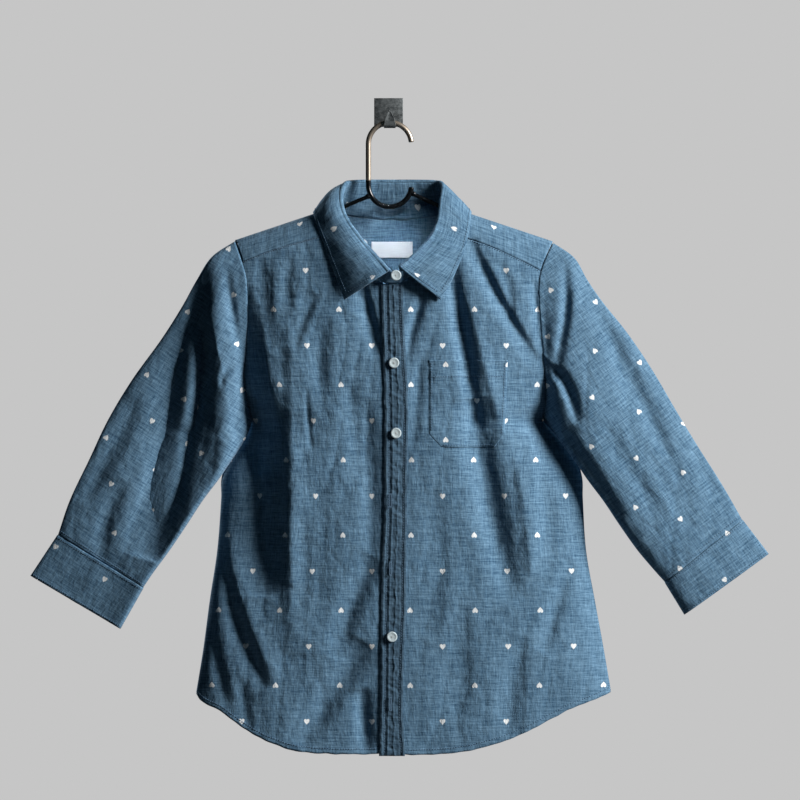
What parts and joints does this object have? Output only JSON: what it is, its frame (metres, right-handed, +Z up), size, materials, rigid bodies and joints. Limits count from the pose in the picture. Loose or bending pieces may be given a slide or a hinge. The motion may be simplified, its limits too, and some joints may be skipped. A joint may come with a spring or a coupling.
{
  "type": "casual shirt garment on wire hanger hook",
  "caption": "Casual button-front garment with turn-down collar, three-quarter sleeves, chest pocket and curved hem, hung on a wire hanger from a small wall hook.",
  "frame": {"origin": "middle of the wall plate's back face", "axes": "+Z up, the shirt's front faces -Y, the wearer's right side is towards -X"},
  "size_m": [0.8442, 0.0751, 0.7501],
  "materials": {
    "chambray": "washed mid-blue chambray with small off-white printed hearts",
    "label": "bare white woven label",
    "buttons": "pearly off-white",
    "hanger_wire": "bright nickel-plated wire",
    "plate_steel": "grey sheet steel"
  },
  "bodies": {
    "root": {"front_right": "chambray", "front_left": "chambray", "back": "chambray", "yoke": "chambray", "placket": "chambray", "collar_stand": "chambray", "collar": "chambray", "sleeve_right": "chambray", "sleeve_left": "chambray", "cuff_right": "chambray", "cuff_left": "chambray", "pocket": "chambray", "label": "label", "button_stand": "buttons", "button_chest": "buttons", "button_bust": "buttons", "button_low": "buttons", "hanger_hook": "hanger_wire", "hanger_arm_right": "hanger_wire", "hanger_arm_left": "hanger_wire", "wall_plate": "plate_steel"}
  },
  "joints": []
}
